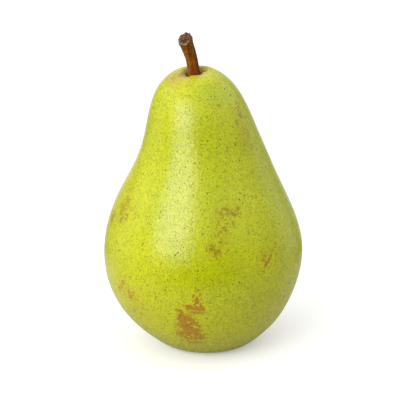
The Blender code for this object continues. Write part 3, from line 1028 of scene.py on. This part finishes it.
def make_tuft():
    """The flattened disc, with its hairs hanging from two rings."""
    bm = bmesh.new()
    middle = Vector((float(lean(0.0)), 0, BASIN_DEPTH - DISC_SINK))
    bmesh.ops.create_uvsphere(
        bm, u_segments=24, v_segments=12, radius=DISC_RADIUS,
        matrix=Matrix.Translation(middle) @ Matrix.Diagonal((1, 1, DISC_FLATNESS, 1)),
    )
    for number in range(HAIRS):
        angle = math.tau * number / HAIRS
        out = Vector((math.cos(angle), math.sin(angle), 0.0))
        unruly = Vector(chance.uniform(-UNRULY, UNRULY, 3))
        ring = INNER_RING if number % 3 == 0 else OUTER_RING
        way = out * SPREAD + Vector((0, 0, -1.0)) + unruly
        add_hair(bm, middle + out * ring, way.normalized(), unruly * TWIST)
    bmesh.ops.recalc_face_normals(bm, faces=bm.faces)
    return finish(bm, "withered_stamens", tuft_finish, "dried_stamen", "dry_stamens")


make_tuft()

# %% [markdown]
# The floor is a round white table top, and isn't part of the pear. It burns out to white where
# the camera sees it, so only the soft shadow shows. To the fruit it is greyer, or it would put
# a pale veil over the underside.

# %% The floor
FLOOR_RADIUS, FLOOR_SIDES, FLOOR_LIFT = 0.11, 96, 0.31
FLOOR_GREY, FLOOR_SEEN = (0.58, 0.56, 0.52), (0.71, 0.71, 0.72)
paper, tree, shader, place = new_material("white_floor")
seen = put(tree, "ShaderNodeLightPath").outputs["Is Camera Ray"]
tree.links.new(blend(tree, seen, FLOOR_GREY, FLOOR_SEEN), shader.inputs["Base Color"])
tree.links.new(times(tree, seen, FLOOR_LIFT), shader.inputs["Emission Strength"])
shader.inputs["Emission Color"].default_value = (1.0, 1.0, 1.0, 1.0)
shader.inputs["Roughness"].default_value = 0.9
shader.inputs["Specular IOR Level"].default_value = 0.0
bm = bmesh.new()
bmesh.ops.create_circle(bm, segments=FLOOR_SIDES, radius=FLOOR_RADIUS, cap_ends=True)
floor_mesh = bpy.data.meshes.new("floor")
bm.to_mesh(floor_mesh)
bm.free()
floor_mesh.materials.append(paper)
floor = bpy.data.objects.new("floor", floor_mesh)
scene.collection.objects.link(floor)
print("floor of", 2 * FLOOR_RADIUS, "m across")

# %% [markdown]
# The light is that of a small product studio. One large softbox in front, above on the left,
# draws the long soft highlight down the flank. Two weaker ones stand left and right, a little
# behind, so that they catch only the edges. Sharper lamps would show every dent.

# %% The lights
AIM = Vector((0.0, 0.0, 0.5 * body_height))
LIGHTS = (
    # name, degrees from the camera's side, degrees up, distance, width, height, power
    ("key", -38, 24, 0.9, 0.70, 0.56, 6.9),
    ("left", -100, 15, 0.9, 0.60, 0.90, 0.80),
    ("right", 118, 12, 1.0, 0.60, 0.90, 0.90),
)


def add_light(name, turn, up, distance, width, height, power):
    """A rectangular softbox that faces the pear."""
    data = bpy.data.lights.new(name, "AREA")
    data.shape, data.size, data.size_y, data.energy = "RECTANGLE", width, height, power
    a, e = math.radians(turn), math.radians(up)
    way = Vector((math.sin(a) * math.cos(e), -math.cos(a) * math.cos(e), math.sin(e)))
    lamp = bpy.data.objects.new(name, data)
    aimed = way.to_track_quat("Z", "Y").to_matrix().to_4x4()
    lamp.matrix_world = Matrix.Translation(AIM + way * distance) @ aimed
    lamp.visible_camera = False
    scene.collection.objects.link(lamp)
    return lamp


lamps = [add_light(*facts) for facts in LIGHTS]
print("lights:", [lamp.name for lamp in lamps])

# %% [markdown]
# The world is the room. It is bright overhead, which lights the shoulder and the floor, and behind
# the fruit, which draws the pale rim along its outline. It is dimmer at the sides and dark on the
# side of the camera, or it would veil the front. The camera itself sees it white.

# %% The room
CEILING, SIDES, LOW_SIDES, BACKDROP, SEEN_WHITE = 1.10, 0.42, 0.30, 1.1, 1.1
LOW_DOWN = -0.6
SIDE_START, SIDE_FULL = 0.35, 0.9
CEILING_START, CEILING_FULL = 0.12, 0.65
BACKDROP_START = 0.80
world = bpy.data.worlds.new("studio")
scene.world = world
world.use_nodes = True
tree = world.node_tree
sky = tree.nodes["Background"]
way = put(tree, "ShaderNodeTexCoord").outputs["Generated"]
x, y, z = put(tree, "ShaderNodeSeparateXYZ", {"Vector": way}).outputs
aside = ramp(tree, sums(tree, "ABSOLUTE", x), SIDE_START, SIDE_FULL)
backdrop = ramp(tree, y, BACKDROP_START, 1.0, 0.0, BACKDROP)
sides = times(tree, aside, ramp(tree, z, LOW_DOWN, 0.0, SIDES + LOW_SIDES, SIDES))
strength = sums(tree, "ADD", ramp(tree, z, CEILING_START, CEILING_FULL, 0.0, CEILING), sides)
strength = sums(tree, "ADD", strength, backdrop)
seen = put(tree, "ShaderNodeLightPath").outputs["Is Camera Ray"]
strength = sums(tree, "MAXIMUM", strength, times(tree, seen, SEEN_WHITE))
tree.links.new(strength, sky.inputs["Strength"])
sky.inputs["Color"].default_value = (1.0, 1.0, 1.0, 1.0)
scene.view_settings.view_transform = "Standard"
print("room made of", len(tree.nodes), "nodes")

# %% [markdown]
# The camera looks down on the pear by nineteen degrees from 60 cm away with a long lens, which
# keeps the neck from looking smaller than it is.

# %% The camera
CAMERA_DISTANCE, CAMERA_UP, LENS = 0.600, math.radians(19), 153.5
CAMERA_TARGET = Vector((-0.00116, 0.0, 0.527 * body_height))
camera_data = bpy.data.cameras.new("camera")
camera_data.lens, camera_data.sensor_width = LENS, 36.0
camera_data.clip_start, camera_data.clip_end = 0.01, 20.0
camera = bpy.data.objects.new("camera", camera_data)
back_way = Vector((0.0, -math.cos(CAMERA_UP), math.sin(CAMERA_UP)))
turn = back_way.to_track_quat("Z", "Y").to_matrix().to_4x4()
camera.matrix_world = Matrix.Translation(CAMERA_TARGET + back_way * CAMERA_DISTANCE) @ turn
scene.collection.objects.link(camera)
scene.camera = camera
print("camera", CAMERA_DISTANCE, "m away, lens", LENS, "mm")
